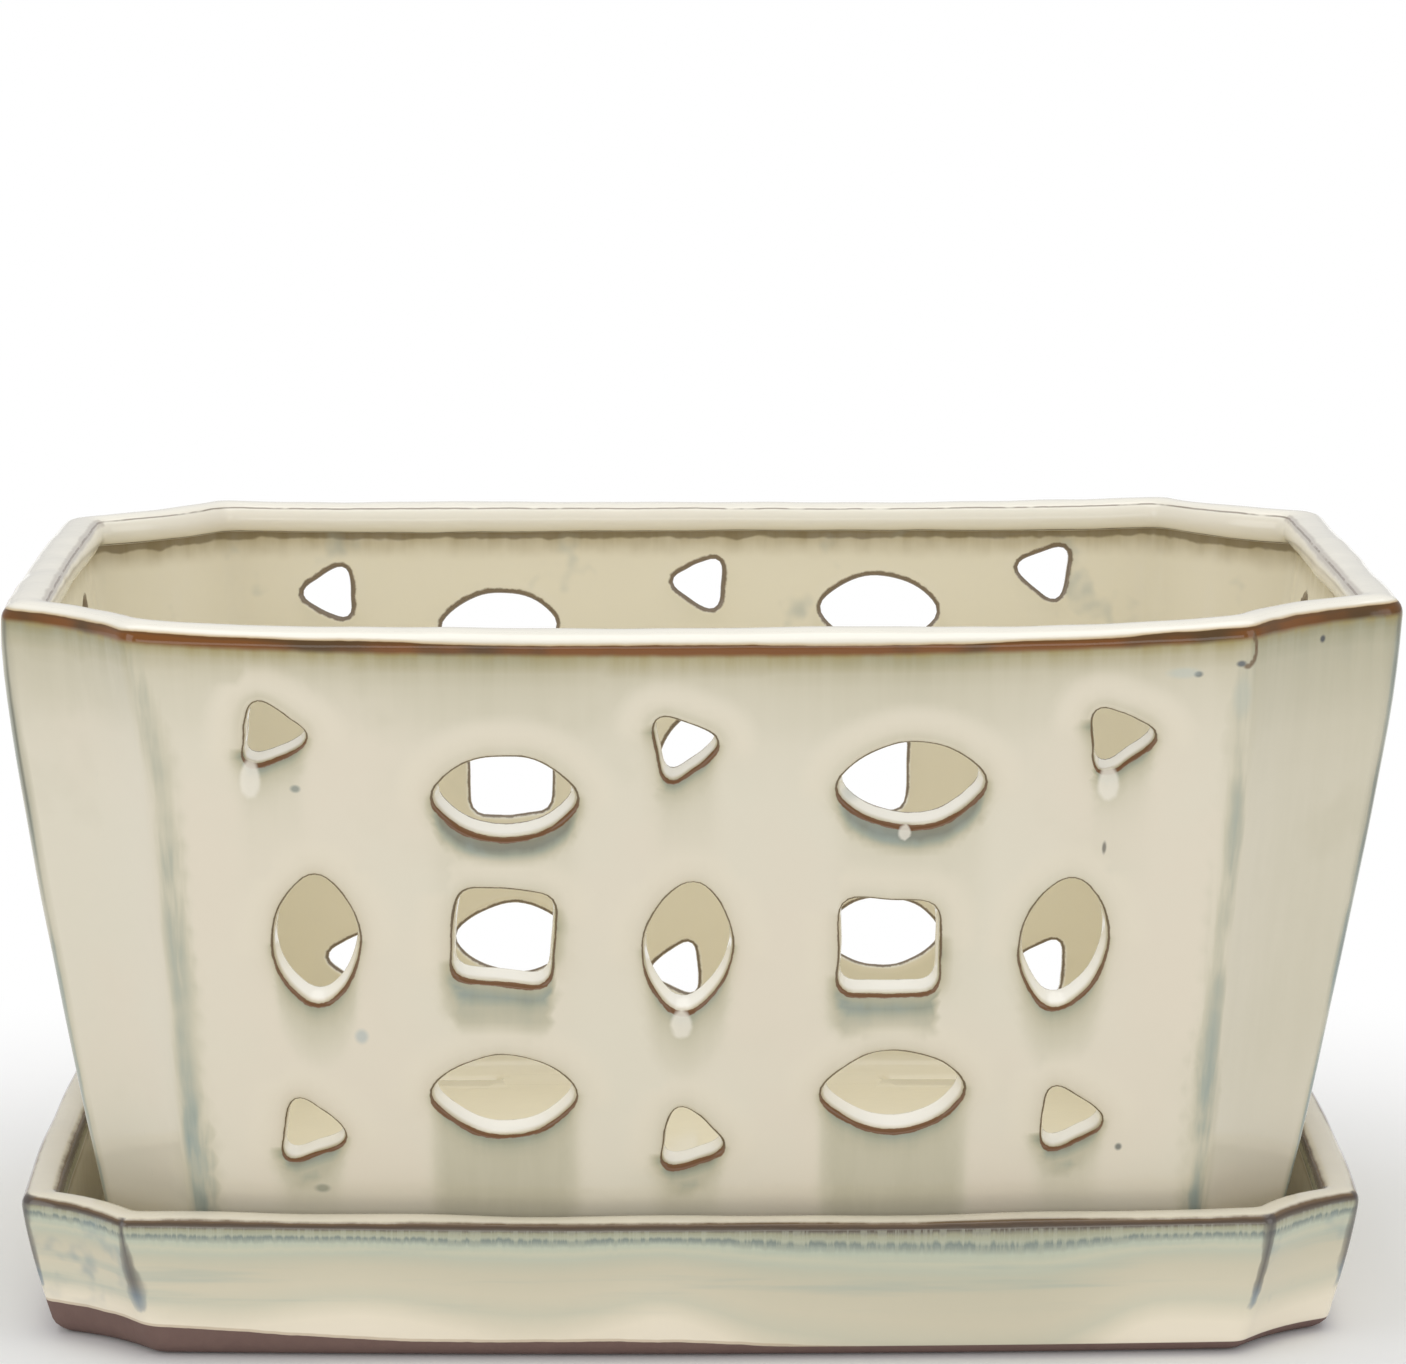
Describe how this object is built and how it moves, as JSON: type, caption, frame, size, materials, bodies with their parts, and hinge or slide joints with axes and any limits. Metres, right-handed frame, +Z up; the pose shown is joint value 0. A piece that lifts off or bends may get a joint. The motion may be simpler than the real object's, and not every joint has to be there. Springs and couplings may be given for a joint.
{
  "type": "orchid pot with saucer",
  "caption": "Rectangular glazed orchid pot with pierced air slots and scooped corners, standing in a matching drip saucer.",
  "frame": {"origin": "middle of the footprint, on the surface that the saucer stands on", "axes": "+X along the pot's length, +Y from the front wall to the back wall, +Z up; the front looks towards -Y"},
  "size_m": [0.2426, 0.1486, 0.1302],
  "materials": {
    "pot_glaze": "glossy cream reactive glaze that breaks brown on edges and pools blue-green",
    "saucer_glaze": "glossy cream reactive glaze over a bare red-brown clay foot"
  },
  "bodies": {
    "saucer": {"saucer": "saucer_glaze"},
    "pot": {"pot": "pot_glaze"}
  },
  "joints": [
    {"name": "pot_lift", "type": "slide", "parent": "saucer", "child": "pot", "axis": [0, 0, 1], "range_m": [0, 0.06]}
  ]
}
